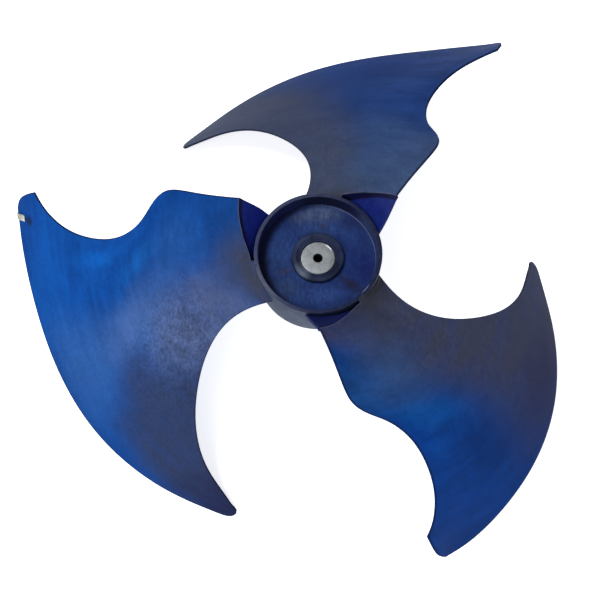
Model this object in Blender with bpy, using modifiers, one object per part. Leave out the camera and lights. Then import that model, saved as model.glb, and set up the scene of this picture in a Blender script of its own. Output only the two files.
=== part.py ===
"""Axial fan wheel, moulded in one piece: a cup-shaped hub drum with three wide
forward-swept blades, a metal bush in its boss and a small balance clip on one blade.

The wheel's axis is +Z, with the air outlet side up. The origin is on the axis,
in the plane of the bush's front face. The wheel rests on its three pointed blade tips.
"""
import math

import bmesh
import bpy
import numpy as np
from mathutils import Matrix, Vector

MM = 0.001
GAP = 0.3 * MM            # between neighbouring solids
WELD = 0.05 * MM          # points closer than this are one point
BLADES = 3
BLADE_PITCH = 2 * math.pi / BLADES
TURN_STEPS = 72           # facets round every turned piece

# Hub drum: a thin wall with a little draft, open at both ends
RIM_HEIGHT = 13.2 * MM
DRUM_REAR = -29.5 * MM
DRUM_RADIUS_FRONT = 48.2 * MM
DRUM_RADIUS_REAR = 48.5 * MM
RIM_INNER_RADIUS = 45.1 * MM
WAIST_INNER_RADIUS = 44.7 * MM
REAR_INNER_RADIUS = 45.6 * MM
RIM_ROUNDING = 0.7 * MM

# Hub floor: the web between the drum and the boss
FLOOR_FRONT = -1.5 * MM
FLOOR_THICKNESS = 2.8 * MM
FLOOR_REAR = FLOOR_FRONT - FLOOR_THICKNESS

# Boss: a raised dished collar in front, a sleeve behind
COLLAR_HEIGHT = 3.0 * MM
COLLAR_RADIUS = 19.9 * MM
COLLAR_ROUNDING = 1.2 * MM
DISH_HEIGHT = 1.0 * MM
DISH_CHAMFER = 0.5 * MM
BOSS_REAR = -27.0 * MM
BOSS_REAR_RADIUS = 18.2 * MM

# Metal bush, moulded into the boss
BUSH_RADIUS = 13.2 * MM
BUSH_LENGTH = 26.0 * MM
BORE_RADIUS = 3.3 * MM
BUSH_CHAMFER = 0.5 * MM

# Rear ribs, deep and shallow ones in turn
RIB_COUNT = 6
RIB_THICKNESS = 2.2 * MM
FIRST_RIB_ANGLE = math.radians(80)
DEEP_RIB_REAR = -26.0 * MM
SHALLOW_RIB_REAR = -15.0 * MM

# Blade sheet
BLADE_THICKNESS = 2.6 * MM
CHORD_CELLS = 24
ROOT_CELLS = 12           # of the chord cells, those along the drum
SPAN_CELLS = 14
END_CELLS = 2             # of the span cells, those along the blunt end
PLATE_STIFFNESS = 0.02    # how strongly the sheet resists small waves in its edges
PLATE_UNIT = 100 * MM     # the length in which the plate's bending is reckoned

# The edges of the top blade: radius in mm, angle in degrees from +X, height in mm
LEADING_EDGE = (
    (43.5, 108.5, -2.5), (62, 96.2, -8.1), (78.4, 93.8, -13.1), (100, 96.2, -22.8),
    (129.3, 103.6, -40.7), (153.6, 110.8, -59.1), (175, 119.3, -80), (193.8, 129.7, -101),
)
OUTER_EDGE = (
    (193.8, 129.7, -101), (196.4, 129.9, -103.4), (198.7, 129.3, -106), (201.5, 125.4, -108.2),
    (208.5, 111.3, -102.7), (217.8, 95.2, -88.6), (224, 80, -67.2), (228.5, 65.3, -35.7),
    (231.6, 54.9, -3.2), (231.9, 50.8, 13.0),
)
BLUNT_END = ((215.3, 48.8, 31.5), (227.2, 49.5, 25.0), (231.9, 50.8, 13.0))
TRAILING_EDGE = (
    (66.2, 30.4, 38.4), (84.4, 35.5, 38.0), (104.8, 38.4, 38.0), (117.8, 40.3, 37.9),
    (126.3, 44, 30.0), (136, 50.5, 18.2), (153.8, 55, 10.0), (175.8, 55.4, 9.5),
    (196, 53.5, 14.0), (208.5, 51, 21.0), (215.3, 48.8, 31.5),
)
ROOT_EDGE = ((43.5, 108.5, -2.5), (43.5, 95, 3.0), (43.5, 81, 7.5), (43.5, 69, 10.3))
RIDGE = (
    (50.4, 67.5, 13.0), (51.5, 61.5, 17.8), (54.2, 54.6, 21.3), (57.8, 46.9, 25.1),
    (62.5, 38.3, 30.7), (66.2, 30.4, 38.4),
)

# Root gusset: a steep web from the drum's rim up to the blade's free inner ridge,
# with a step wall along the ridge and a short wall that closes its narrow end
GUSSET_THICKNESS = 2.2 * MM
GUSSET_CELLS = 12
WEB_CELLS = 3
STEP_SETBACK_MM = 1.9     # from the ridge to the middle of the step wall
GUSSET_TRAILING_EDGE = (
    (46.0, 18.0, 5.6), (49.6, 20.5, 11.2), (54.0, 23.6, 18.9), (59.0, 27.0, 26.8),
    (63.8, 30.8, 34.6),
)
STEP_FOOT = (
    (50.4, 69, 1.8), (51.5, 60, 7.4), (53.4, 53.5, 12.8), (56.5, 46.5, 19.0),
    (60.5, 38.5, 26.4), (63.8, 30.8, 34.6),
)
STEP_TOP = ((50.3, 69, 10.4),) + RIDGE[1:-1] + ((64.4, 32.4, 36.4),)
GUSSET_DRUM_LINE = ((46.0, 71, 0.6), (46.0, 50, 2.2), (46.0, 34, 4.4), (46.0, 18.0, 5.6))

# Balance clip, on the outer edge of the second blade
CLIP_BLADE = 1
CLIP_POINT = (231.7, 51.9, 8.6)
CLIP_WIDTH = 5.0 * MM
CLIP_REACH = 6.8 * MM
CLIP_OVERHANG = 1.3 * MM
CLIP_HEIGHT = 5.6 * MM
CLIP_EDGE_GAP = 0.4 * MM

# Reach of the cone that keeps blades and gussets off the drum, above and below the origin
CLEARANCE_REACH = 60 * MM


def clear_scene():
    for obj in list(bpy.data.objects):
        bpy.data.objects.remove(obj, do_unlink=True)


def new_collection(name):
    collection = bpy.data.collections.new(name)
    bpy.context.scene.collection.children.link(collection)
    return collection


def new_material(name, colour, roughness, metallic=0.0):
    material = bpy.data.materials.new(name)
    material.use_nodes = True
    shader = material.node_tree.nodes["Principled BSDF"]
    shader.inputs["Base Color"].default_value = (*colour, 1.0)
    shader.inputs["Roughness"].default_value = roughness
    shader.inputs["Metallic"].default_value = metallic
    return material


def new_object(name, mesh, collection, material=None):
    obj = bpy.data.objects.new(name, mesh)
    collection.objects.link(obj)
    if material is not None:
        obj.data.materials.clear()
        obj.data.materials.append(material)
    return obj


def new_cutter(name, mesh):
    cutter = new_object(name, mesh, cutters)
    cutter.display_type = "WIRE"
    cutter.hide_render = True
    return cutter


def add_modifier(obj, kind, **settings):
    modifier = obj.modifiers.new(kind.title(), kind)
    for setting, value in settings.items():
        setattr(modifier, setting, value)
    return modifier


def cut(obj, cutter):
    return add_modifier(obj, "BOOLEAN", operation="DIFFERENCE", object=cutter, solver="EXACT")


def finished_copy(obj):
    """The object's mesh with its modifiers applied; the object is kept."""
    bpy.context.view_layer.update()
    depsgraph = bpy.context.evaluated_depsgraph_get()
    return bpy.data.meshes.new_from_object(obj.evaluated_get(depsgraph))


def finished_mesh(obj):
    """The object's mesh with its modifiers applied; the object itself is removed."""
    mesh = finished_copy(obj)
    bpy.data.objects.remove(obj, do_unlink=True)
    return mesh


def shade_round(mesh, sharp_degrees=35):
    mesh.shade_smooth()
    mesh.set_sharp_from_angle(angle=math.radians(sharp_degrees))


def turned(name, profile, collection):
    """Turn a closed profile of (radius, height) points, outer side first, top to bottom."""
    mesh = bpy.data.meshes.new(name)
    points = [(radius, 0, height) for radius, height in profile]
    edges = [(i, (i + 1) % len(points)) for i in range(len(points))]
    mesh.from_pydata(points, edges, [])
    obj = new_object(name, mesh, collection)
    add_modifier(obj, "SCREW", axis="Z", angle=2 * math.pi, steps=TURN_STEPS, render_steps=TURN_STEPS,
                 use_merge_vertices=True, merge_threshold=WELD / 5)
    return obj


def quarter_arc(centre_radius, centre_height, radius, start_degrees, end_degrees, cells=2):
    """Points of an arc in a turned profile."""
    points = []
    for i in range(cells + 1):
        angle = math.radians(start_degrees + (end_degrees - start_degrees) * i / cells)
        points.append((centre_radius + radius * math.cos(angle), centre_height + radius * math.sin(angle)))
    return points


def natural_spline(points, fractions):
    """A smooth curve through the points, read at fractions of its chord length."""
    points = np.array(points, float)
    lengths = np.linalg.norm(np.diff(points, axis=0), axis=1)
    knots = np.concatenate([[0], np.cumsum(lengths)]) / lengths.sum()
    step = np.diff(knots)
    count = len(points)
    system = np.eye(count)
    right = np.zeros_like(points)
    for i in range(1, count - 1):
        system[i, i - 1:i + 2] = (step[i - 1], 2 * (step[i - 1] + step[i]), step[i])
        right[i] = 6 * ((points[i + 1] - points[i]) / step[i] - (points[i] - points[i - 1]) / step[i - 1])
    bend = np.linalg.solve(system, right)
    curve = []
    for fraction in fractions:
        i = min(max(int(np.searchsorted(knots, fraction)) - 1, 0), count - 2)
        ahead = (fraction - knots[i]) / step[i]
        behind = 1 - ahead
        curve.append(behind * points[i] + ahead * points[i + 1] + step[i] ** 2 / 6
                     * ((behind ** 3 - behind) * bend[i] + (ahead ** 3 - ahead) * bend[i + 1]))
    return np.array(curve)


def edge_curve(polar_points, cells):
    """Evenly spaced points, in metres, of the smooth edge through points in radius, angle and height."""
    cartesian = []
    for radius, degrees, height in polar_points:
        angle = math.radians(degrees)
        cartesian.append((radius * math.cos(angle), radius * math.sin(angle), height))
    return natural_spline(cartesian, np.linspace(0, 1, cells + 1)) * MM


def fractions_along(curve):
    lengths = np.linalg.norm(np.diff(curve, axis=0), axis=1)
    return np.concatenate([[0], np.cumsum(lengths)]) / lengths.sum()


def patch(near, far, start, end):
    """The grid of a sheet that fills four edges: near and far run from start to end."""
    grid = np.zeros((len(start), len(near), 3))
    across = (fractions_along(start), fractions_along(end))
    along = (fractions_along(near), fractions_along(far))
    for j in range(len(start)):
        for i in range(len(near)):
            s = j / (len(start) - 1)
            u = (1 - s) * along[0][i] + s * along[1][i]
            v = (1 - u) * across[0][j] + u * across[1][j]
            corners = ((1 - u) * (1 - v) * near[0] + u * (1 - v) * near[-1]
                       + (1 - u) * v * far[0] + u * v * far[-1])
            grid[j, i] = (1 - v) * near[i] + v * far[i] + (1 - u) * start[j] + u * end[j] - corners
    return grid


def bent_plate(edge_points, plan):
    """Heights, over points of the plan, of a thin springy plate held by its edge points."""
    known = edge_points[:, :2] / PLATE_UNIT
    wanted = plan.reshape(-1, 2) / PLATE_UNIT

    def bending(some, others):
        squares = ((some[:, None, :] - others[None, :, :]) ** 2).sum(-1)
        return squares * np.log(squares + 1e-12) / 2

    count = len(known)
    plane = np.column_stack([np.ones(count), known])
    system = np.zeros((count + 3, count + 3))
    system[:count, :count] = bending(known, known) + PLATE_STIFFNESS * np.eye(count)
    system[:count, count:] = plane
    system[count:, :count] = plane.T
    answer = np.linalg.solve(system, np.concatenate([edge_points[:, 2], np.zeros(3)]))
    bends = answer[:count]
    base, slopes = answer[count], answer[count + 1:]
    heights = bending(wanted, known) @ bends + base + wanted @ slopes
    return heights.reshape(plan.shape[:-1])


def add_grid(bm, grid):
    """Quads over a grid of points; returns its vertices row by row."""
    rows = [[bm.verts.new(point) for point in row] for row in grid]
    for lower, upper in zip(rows, rows[1:]):
        for i in range(len(lower) - 1):
            bm.faces.new((lower[i], lower[i + 1], upper[i + 1], upper[i]))
    return rows


def sheet_mesh(name, grids):
    """One open sheet from grids that share edges."""
    bm = bmesh.new()
    for grid in grids:
        add_grid(bm, grid)
    bmesh.ops.remove_doubles(bm, verts=bm.verts, dist=WELD)
    bmesh.ops.recalc_face_normals(bm, faces=bm.faces)
    mesh = bpy.data.meshes.new(name)
    bm.to_mesh(mesh)
    bm.free()
    return mesh


def thick_sheet(name, sheet, thickness, collection):
    obj = new_object(name, sheet.copy(), collection)
    add_modifier(obj, "SOLIDIFY", thickness=thickness, offset=0, use_even_offset=True)
    return obj


def drum_profile():
    top = RIM_HEIGHT - RIM_ROUNDING
    outer = quarter_arc(DRUM_RADIUS_FRONT - RIM_ROUNDING, top, RIM_ROUNDING, 90, 0)
    rear = [(DRUM_RADIUS_REAR, DRUM_REAR), (REAR_INNER_RADIUS, DRUM_REAR)]
    waist = [(WAIST_INNER_RADIUS, FLOOR_REAR), (WAIST_INNER_RADIUS, FLOOR_FRONT)]
    inner = quarter_arc(RIM_INNER_RADIUS + RIM_ROUNDING, top, RIM_ROUNDING, 180, 90)
    return outer + rear + waist + inner


def make_drum():
    drum = turned("hub_drum", drum_profile(), parts)
    drum.data.materials.append(new_material("drum_plastic", (0.035, 0.06, 0.19), 0.45))
    return drum


def make_floor():
    inner = COLLAR_RADIUS + GAP
    outer = WAIST_INNER_RADIUS - GAP
    profile = [(outer, FLOOR_FRONT), (outer, FLOOR_REAR), (inner, FLOOR_REAR), (inner, FLOOR_FRONT)]
    floor = turned("hub_floor", profile, parts)
    floor.data.materials.append(new_material("floor_plastic", (0.04, 0.09, 0.28), 0.5))
    return floor


def make_boss():
    sleeve = BUSH_RADIUS + GAP
    shoulder = quarter_arc(COLLAR_RADIUS - COLLAR_ROUNDING, COLLAR_HEIGHT - COLLAR_ROUNDING,
                           COLLAR_ROUNDING, 90, 0, cells=3)
    behind_floor = [(COLLAR_RADIUS, FLOOR_REAR - GAP), (BOSS_REAR_RADIUS, BOSS_REAR)]
    inside = [(sleeve, BOSS_REAR), (sleeve, DISH_HEIGHT - DISH_CHAMFER), (sleeve + DISH_CHAMFER, DISH_HEIGHT)]
    boss = turned("hub_boss", shoulder + behind_floor + inside, parts)
    boss.data.materials.append(new_material("boss_plastic", (0.05, 0.07, 0.15), 0.45))
    return boss


def make_bush():
    rear = -BUSH_LENGTH
    profile = [
        (BUSH_RADIUS - BUSH_CHAMFER, 0), (BUSH_RADIUS, -BUSH_CHAMFER),
        (BUSH_RADIUS, rear + BUSH_CHAMFER), (BUSH_RADIUS - BUSH_CHAMFER, rear),
        (BORE_RADIUS + BUSH_CHAMFER, rear), (BORE_RADIUS, rear + BUSH_CHAMFER),
        (BORE_RADIUS, -BUSH_CHAMFER), (BORE_RADIUS + BUSH_CHAMFER, 0),
    ]
    bush = turned("shaft_bush", profile, parts)
    bush.data.materials.append(new_material("bush_metal", (0.62, 0.63, 0.62), 0.35, 1.0))
    return bush


def make_rib(number):
    """A radial plate behind the hub floor; its ends follow the drafts of the boss and the drum."""
    deep = number % 2 == 0
    top = FLOOR_REAR - GAP
    rear = DEEP_RIB_REAR if deep else SHALLOW_RIB_REAR
    boss_slope = (COLLAR_RADIUS - BOSS_REAR_RADIUS) / (FLOOR_REAR - GAP - BOSS_REAR)
    drum_slope = (REAR_INNER_RADIUS - WAIST_INNER_RADIUS) / (FLOOR_REAR - DRUM_REAR)
    corner_play = 0.15 * MM
    bm = bmesh.new()
    bmesh.ops.create_cube(bm, size=1)
    for vert in bm.verts:
        height = top if vert.co.z > 0 else rear
        if vert.co.x < 0:
            reach = COLLAR_RADIUS - boss_slope * (top - height) + GAP
        else:
            reach = WAIST_INNER_RADIUS + drum_slope * (FLOOR_REAR - height) - GAP - corner_play
        vert.co = Vector((reach, vert.co.y * RIB_THICKNESS, height))
    mesh = bpy.data.meshes.new("rib")
    bm.to_mesh(mesh)
    bm.free()
    rib = new_object(f"rear_rib_{number + 1}", mesh, parts)
    rib.rotation_euler.z = FIRST_RIB_ANGLE + number * 2 * math.pi / RIB_COUNT
    rib.data.materials.append(new_material(f"rib_plastic_{number + 1}", (0.035, 0.06, 0.19), 0.5))
    return rib


def make_drum_clearance():
    """A full cone that is wider than the drum by the gap, with the same facets."""
    slope = (DRUM_RADIUS_REAR - DRUM_RADIUS_FRONT) / (RIM_HEIGHT - DRUM_REAR)
    top_radius = DRUM_RADIUS_FRONT - slope * (CLEARANCE_REACH - RIM_HEIGHT) + GAP
    bottom_radius = DRUM_RADIUS_FRONT + slope * (CLEARANCE_REACH + RIM_HEIGHT) + GAP
    bm = bmesh.new()
    bmesh.ops.create_cone(bm, cap_ends=True, segments=TURN_STEPS, radius1=bottom_radius,
                          radius2=top_radius, depth=2 * CLEARANCE_REACH)
    mesh = bpy.data.meshes.new("drum_clearance")
    bm.to_mesh(mesh)
    bm.free()
    return new_cutter("drum_clearance", mesh)


def blade_sheet():
    root = edge_curve(ROOT_EDGE, ROOT_CELLS - 1)
    ridge = edge_curve(RIDGE, CHORD_CELLS - ROOT_CELLS)
    inner = np.concatenate([root, ridge])
    outer = edge_curve(OUTER_EDGE, CHORD_CELLS)
    leading = edge_curve(LEADING_EDGE, SPAN_CELLS)
    long_side = edge_curve(TRAILING_EDGE, SPAN_CELLS - END_CELLS)
    blunt = edge_curve(BLUNT_END, END_CELLS)
    trailing = np.concatenate([long_side, blunt[1:]])
    grid = patch(inner, outer, leading, trailing)
    edge_points = np.concatenate([inner, outer, leading, trailing])
    grid[..., 2] = bent_plate(edge_points, grid[..., :2])
    return sheet_mesh("blade_sheet", [grid])


def pushed_out(curve, distance_mm):
    """The same edge points, moved away from the axis."""
    return tuple((radius + distance_mm, degrees, height) for radius, degrees, height in curve)


def gusset_sheet():
    foot_points = pushed_out(STEP_FOOT, STEP_SETBACK_MM)
    ridge_points = pushed_out(STEP_TOP, STEP_SETBACK_MM)
    trailing_points = GUSSET_TRAILING_EDGE[:-1] + foot_points[-1:]
    foot = edge_curve(foot_points, GUSSET_CELLS)
    ridge = edge_curve(ridge_points, GUSSET_CELLS)
    drum_line = edge_curve(GUSSET_DRUM_LINE, GUSSET_CELLS)
    trailing = edge_curve(trailing_points, WEB_CELLS)
    narrow = np.linspace(drum_line[0], foot[0], WEB_CELLS + 1)
    web = patch(drum_line, foot, narrow, trailing)
    step_wall = np.array([foot, ridge])
    end_top = np.array([narrow[:, 0], narrow[:, 1], np.full(len(narrow), ridge[0][2])]).T
    end_top[-1] = ridge[0]
    end_wall = np.array([narrow, end_top])
    return sheet_mesh("gusset_sheet", [web, step_wall, end_wall])


def make_blades(sheet, drum_clearance):
    master = thick_sheet("blade_master", sheet, BLADE_THICKNESS, cutters)
    cut(master, drum_clearance)
    mesh = finished_mesh(master)
    shade_round(mesh)
    for number in range(BLADES):
        blade = new_object(f"blade_{number + 1}", mesh.copy(), parts,
                           new_material(f"blade_plastic_{number + 1}", (0.03, 0.09, 0.3), 0.4))
        blade.rotation_euler.z = number * BLADE_PITCH


def make_gussets(sheet, drum_clearance, blade_clearance):
    master = thick_sheet("gusset_master", sheet, GUSSET_THICKNESS, cutters)
    cut(master, drum_clearance)
    cut(master, blade_clearance)
    mesh = finished_mesh(master)
    shade_round(mesh)
    for number in range(BLADES):
        gusset = new_object(f"root_gusset_{number + 1}", mesh.copy(), parts,
                            new_material(f"gusset_plastic_{number + 1}", (0.015, 0.03, 0.22), 0.4))
        gusset.rotation_euler.z = number * BLADE_PITCH


def make_clip(sheet, blade_clearance):
    """A block round the blade's edge that the blade's clearance opens into a U."""
    radius, degrees, height = CLIP_POINT
    angle = math.radians(degrees)
    edge_point = Vector((radius * math.cos(angle), radius * math.sin(angle), height)) * MM
    nearest = min(sheet.polygons, key=lambda face: (face.center - edge_point).length)
    normal = nearest.normal.normalized()
    if normal.z < 0:
        normal.negate()
    inward = -edge_point.copy()
    inward.z = 0
    inward -= inward.dot(normal) * normal
    inward.normalize()
    along = normal.cross(inward)
    block_length = CLIP_REACH + CLIP_OVERHANG
    centre = edge_point + inward * (CLIP_REACH - block_length / 2)
    bm = bmesh.new()
    bmesh.ops.create_cube(bm, size=1)
    bmesh.ops.scale(bm, vec=(block_length, CLIP_WIDTH, CLIP_HEIGHT), verts=bm.verts)
    frame = Matrix((inward, along, normal)).transposed().to_4x4()
    bmesh.ops.transform(bm, matrix=Matrix.Translation(centre) @ frame, verts=bm.verts)
    mesh = bpy.data.meshes.new("balance_clip")
    bm.to_mesh(mesh)
    bm.free()
    block = new_object("clip_block", mesh, cutters)
    cut(block, blade_clearance)
    edge_clearance = new_cutter("edge_clearance", finished_copy(blade_clearance))
    edge_clearance.location = -inward * CLIP_EDGE_GAP
    cut(block, edge_clearance)
    clip = new_object("balance_clip", finished_mesh(block), parts,
                      new_material("clip_steel", (0.6, 0.58, 0.54), 0.35, 1.0))
    clip.rotation_euler.z = CLIP_BLADE * BLADE_PITCH


clear_scene()
parts = new_collection("axial_fan_wheel")
cutters = new_collection("cutters")

make_drum()
make_floor()
make_boss()
make_bush()
for rib_number in range(RIB_COUNT):
    make_rib(rib_number)

drum_clearance_cone = make_drum_clearance()
blade_surface = blade_sheet()
gusset_surface = gusset_sheet()
clearance_body = thick_sheet("blade_clearance", blade_surface, BLADE_THICKNESS + 2 * GAP, cutters)
clearance_body.display_type = "WIRE"
clearance_body.hide_render = True
make_blades(blade_surface, drum_clearance_cone)
make_gussets(gusset_surface, drum_clearance_cone, clearance_body)
make_clip(blade_surface, clearance_body)
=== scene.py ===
# %% [markdown]
# # An axial fan wheel, dressed for its portrait
#
# The wheel is one blue plastic moulding: a cup-shaped hub with three wide swept blades, a light
# metal bush in the middle and a small balance clip on one blade. The imported solids give every
# size. This lesson puts a finely modelled and worn-looking piece over each of them.
# The first cell loads those solids.

# %% Load the imported wheel
import math

import bmesh
import bpy
import numpy as np
from mathutils import Matrix, Vector
from mathutils.kdtree import KDTree


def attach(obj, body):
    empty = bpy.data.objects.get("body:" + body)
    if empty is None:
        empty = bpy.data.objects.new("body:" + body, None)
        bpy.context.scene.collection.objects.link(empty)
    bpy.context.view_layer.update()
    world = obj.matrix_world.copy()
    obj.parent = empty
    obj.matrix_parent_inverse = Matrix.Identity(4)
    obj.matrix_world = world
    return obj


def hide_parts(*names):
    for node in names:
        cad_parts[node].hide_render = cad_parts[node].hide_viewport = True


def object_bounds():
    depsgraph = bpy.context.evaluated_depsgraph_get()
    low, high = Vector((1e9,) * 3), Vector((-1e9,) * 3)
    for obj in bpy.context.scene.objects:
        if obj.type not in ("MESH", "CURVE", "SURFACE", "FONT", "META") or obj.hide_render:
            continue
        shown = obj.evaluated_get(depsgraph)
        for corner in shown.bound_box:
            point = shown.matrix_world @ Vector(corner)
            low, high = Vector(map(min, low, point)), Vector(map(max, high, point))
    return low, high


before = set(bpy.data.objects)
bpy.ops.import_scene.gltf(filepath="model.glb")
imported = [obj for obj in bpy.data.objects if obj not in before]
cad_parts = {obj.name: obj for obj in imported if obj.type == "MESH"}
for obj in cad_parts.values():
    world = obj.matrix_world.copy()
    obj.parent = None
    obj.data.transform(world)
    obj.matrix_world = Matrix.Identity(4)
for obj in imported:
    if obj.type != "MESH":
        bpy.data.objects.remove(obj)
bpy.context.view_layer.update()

MM = 0.001
print("nodes:", sorted(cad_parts))

# %% [markdown]
# ## The camera
#
# A camera could be placed by eye and nudged until the picture agrees. Here the three blades are
# three views of one shape, which is enough to work out where the camera stood: about two and a
# half radii away, looking seventeen degrees off the wheel's axis.

# %% Place the camera
CAMERA_PLACE = (-0.0062, -0.2088, 0.5590)
CAMERA_TILT = (math.radians(17.399), math.radians(0.766), 0)
FOCAL_LENGTH, SENSOR_WIDTH = 46.8, 36     # mm
NEAR_LIMIT = 10 * MM     # nothing nearer than this is drawn
bpy.ops.object.camera_add(location=CAMERA_PLACE, rotation=CAMERA_TILT)
camera = bpy.context.object
camera.name = "camera"
camera.data.lens = FOCAL_LENGTH
camera.data.sensor_width = SENSOR_WIDTH
camera.data.clip_start = NEAR_LIMIT
bpy.context.scene.camera = camera
print("camera:", [round(value, 3) for value in camera.location], "lens", camera.data.lens)

# %% [markdown]
# ## A few habits
#
# Operators work on whatever is selected, so each step first lets go of everything and then takes
# one object. A modifier is applied as soon as its result is wanted, which keeps the finished
# mesh simple and its place in its own vertices.

# %% Helpers for selecting and applying
def let_go():
    bpy.ops.object.select_all(action="DESELECT")


def take(piece):
    let_go()
    piece.select_set(True)
    bpy.context.view_layer.objects.active = piece


def apply(piece, kind, **settings):
    """Add a modifier and make its result the mesh."""
    take(piece)
    modifier = piece.modifiers.new(kind.title(), kind)
    for setting, value in settings.items():
        setattr(modifier, setting, value)
    bpy.ops.object.modifier_apply(modifier=modifier.name)


def round_edges(piece, width, segments, degrees=50):
    """Bevel the edges that turn by more than the degrees."""
    apply(piece, "BEVEL", width=width, segments=segments, limit_method="ANGLE",
          angle_limit=math.radians(degrees))


def points_of(piece):
    flat = np.empty(len(piece.data.vertices) * 3)
    piece.data.vertices.foreach_get("co", flat)
    return flat.reshape(-1, 3)


def move_points(piece, points):
    piece.data.vertices.foreach_set("co", np.asarray(points, float).ravel())
    piece.data.update()


def merge_and_face_out(piece, distance=0.01 * MM):
    take(piece)
    bpy.ops.object.mode_set(mode="EDIT")
    bpy.ops.mesh.select_all(action="SELECT")
    bpy.ops.mesh.remove_doubles(threshold=distance)
    bpy.ops.mesh.normals_make_consistent(inside=False)
    bpy.ops.object.mode_set(mode="OBJECT")


def shade(piece, degrees=40):
    take(piece)
    bpy.ops.object.shade_smooth_by_angle(angle=math.radians(degrees))


def measure(piece):
    points = points_of(piece)
    print(piece.name, len(piece.data.polygons), "faces,",
          "size in mm", np.round((points.max(0) - points.min(0)) / MM, 1))


print("helpers are ready")

# %% [markdown]
# ## The outline of one blade
#
# A blade is a thin sheet that is bent in two directions, so no primitive has its shape. Its
# outline is a set of smooth curves through a few measured points, each given as a distance from
# the axis, an angle and a height. A natural spline draws the curve, and the curve is then read
# at even or at crowded steps, because the root needs finer cells than the wide outer part.

# %% The measured points of the top blade
LEADING_EDGE = (
    (43.5, 108.5, -2.5), (62, 96.2, -8.1), (78.4, 93.8, -13.1), (100, 96.2, -22.8),
    (129.3, 103.6, -40.7), (153.6, 110.8, -59.1), (175, 119.3, -80), (189.6, 127.4, -96.4),
    (192.1, 128.7, -99.2), (193.8, 129.7, -101), (196.4, 129.9, -103.4),
)
OUTER_EDGE = (
    (196.4, 129.9, -103.4), (198.7, 129.3, -106), (201.5, 125.4, -108.2), (208.5, 111.3, -102.7),
    (217.8, 95.2, -88.6), (224, 80, -67.2), (228.5, 65.3, -35.7), (231.6, 54.9, -3.2), (231.9, 50.8, 13.0),
)
BLUNT_END = ((215.3, 48.8, 31.5), (227.2, 49.5, 25.0), (231.9, 50.8, 13.0))
TRAILING_EDGE = (
    (66.2, 30.4, 38.4), (84.4, 35.5, 38.0), (104.8, 38.4, 38.0), (117.8, 40.3, 37.9),
    (126.3, 44, 30.0), (136, 50.5, 18.2), (153.8, 55, 10.0), (175.8, 55.4, 9.5),
    (196, 53.5, 14.0), (208.5, 51, 21.0), (215.3, 48.8, 31.5),
)
ROOT_EDGE = ((43.5, 108.5, -2.5), (43.5, 95, 3.0), (43.5, 81, 7.5), (43.5, 69, 10.3))
RIDGE = (
    (50.4, 67.5, 13.0), (51.5, 61.5, 17.8), (54.2, 54.6, 21.3), (57.8, 46.9, 25.1),
    (62.5, 38.3, 30.7), (66.2, 30.4, 38.4),
)
print("points of the leading edge:", len(LEADING_EDGE))

# %% Smooth curves through points
def natural_spline(points, fractions):
    points = np.array(points, float)
    lengths = np.linalg.norm(np.diff(points, axis=0), axis=1)
    knots = np.concatenate([[0], np.cumsum(lengths)]) / lengths.sum()
    step = np.diff(knots)
    count = len(points)
    system = np.eye(count)
    right = np.zeros_like(points)
    for i in range(1, count - 1):
        system[i, i - 1:i + 2] = (step[i - 1], 2 * (step[i - 1] + step[i]), step[i])
        right[i] = 6 * ((points[i + 1] - points[i]) / step[i] - (points[i] - points[i - 1]) / step[i - 1])
    bend = np.linalg.solve(system, right)
    at = np.clip(np.searchsorted(knots, fractions) - 1, 0, count - 2)
    ahead = ((fractions - knots[at]) / step[at])[:, None]
    behind = 1 - ahead
    return (behind * points[at] + ahead * points[at + 1] + step[at][:, None] ** 2 / 6
            * ((behind ** 3 - behind) * bend[at] + (ahead ** 3 - ahead) * bend[at + 1]))


def edge_curve(polar_points, cells):
    """A spline through (radius, degrees, height) points in mm, cut into cells."""
    radius, degrees, height = np.array(polar_points, float).T
    angle = np.radians(degrees)
    cartesian = np.stack([radius * np.cos(angle), radius * np.sin(angle), height], axis=1)
    return natural_spline(cartesian, np.linspace(0, 1, cells + 1)) * MM


def fractions_along(curve):
    lengths = np.linalg.norm(np.diff(curve, axis=0), axis=1)
    return np.concatenate([[0], np.cumsum(lengths)]) / lengths.sum()


def respaced(curve, cells, crowding=1.0):
    """The same curve with new steps; a crowding over one packs them towards its start."""
    wanted = np.linspace(0, 1, cells + 1) ** crowding
    known = fractions_along(curve)
    return np.stack([np.interp(wanted, known, curve[:, axis]) for axis in range(3)], axis=1)


print("the ridge ends", round(edge_curve(RIDGE, 10)[-1, 2] / MM, 1), "mm above the bush")

# %% [markdown]
# ## The bent sheet
#
# Inside its outline the sheet could be any smooth shape. A real moulding is fair: it bends as
# little as its edges allow, like a thin plate of spring steel. The thin plate spline is exactly
# that plate, so it gives the height over every point of the plan. A Coons patch spreads the
# plan points evenly between the four edges first.

# %% The plate and the patch
PLATE_UNIT = 100 * MM
PLATE_STIFFNESS = 0.02


def bent_plate(edge_points, plan):
    known = edge_points[:, :2] / PLATE_UNIT
    wanted = plan.reshape(-1, 2) / PLATE_UNIT

    def bending(some, others):
        squares = ((some[:, None, :] - others[None, :, :]) ** 2).sum(-1)
        return squares * np.log(squares + 1e-12) / 2

    count = len(known)
    plane = np.column_stack([np.ones(count), known])
    system = np.zeros((count + 3, count + 3))
    system[:count, :count] = bending(known, known) + PLATE_STIFFNESS * np.eye(count)
    system[:count, count:] = plane
    system[count:, :count] = plane.T
    answer = np.linalg.solve(system, np.concatenate([edge_points[:, 2], np.zeros(3)]))
    heights = bending(wanted, known) @ answer[:count] + answer[count] + wanted @ answer[count + 1:]
    return heights.reshape(plan.shape[:-1])


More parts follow.
